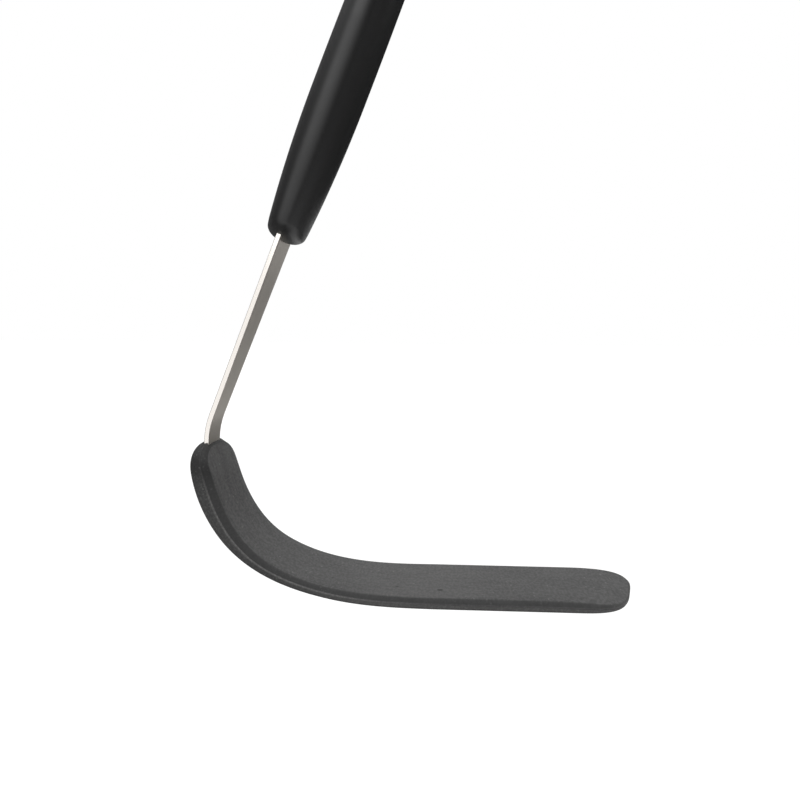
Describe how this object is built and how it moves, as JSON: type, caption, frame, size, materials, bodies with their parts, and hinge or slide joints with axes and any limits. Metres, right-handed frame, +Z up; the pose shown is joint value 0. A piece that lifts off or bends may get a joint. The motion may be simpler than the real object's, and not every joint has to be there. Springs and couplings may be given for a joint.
{
  "type": "silicone spatula",
  "caption": "Hand-held kitchen spatula: springy J-shaped silicone blade with a slanted tip, on a flat steel shank with a black soft-touch handle and a hanging slot.",
  "frame": {"origin": "centre of the flat underside of the blade's level stretch, on the mid-plane", "axes": "+X along the level stretch towards the tip, +Y across the blade's width, +Z up as pictured"},
  "size_m": [0.1324, 0.0362, 0.2158],
  "materials": {
    "hard_plastic": "satin moulded",
    "soft_grip": "satin soft-touch",
    "pin_steel": "turned",
    "shank_steel": "brushed lengthwise",
    "spring_steel": "blued spring temper",
    "silicone": "matt moulded"
  },
  "bodies": {
    "handle": {"handle_core": "hard_plastic", "grip_sleeve": "soft_grip", "tang_pin_front": "pin_steel", "tang_pin_rear": "pin_steel", "shank": "shank_steel", "core_rivet_upper": "pin_steel", "core_rivet_lower": "pin_steel"},
    "blade": {"blade_core": "spring_steel", "blade": "silicone"}
  },
  "joints": [
    {"name": "blade_flex", "type": "hinge", "parent": "handle", "child": "blade", "pos_m": [-0.0797, 0, 0.0113], "axis": [0, 1, 0], "range_deg": [-25, 20], "stiffness_Nm_per_rad": 1.6, "deforming": ["blade", "blade_core"]}
  ]
}
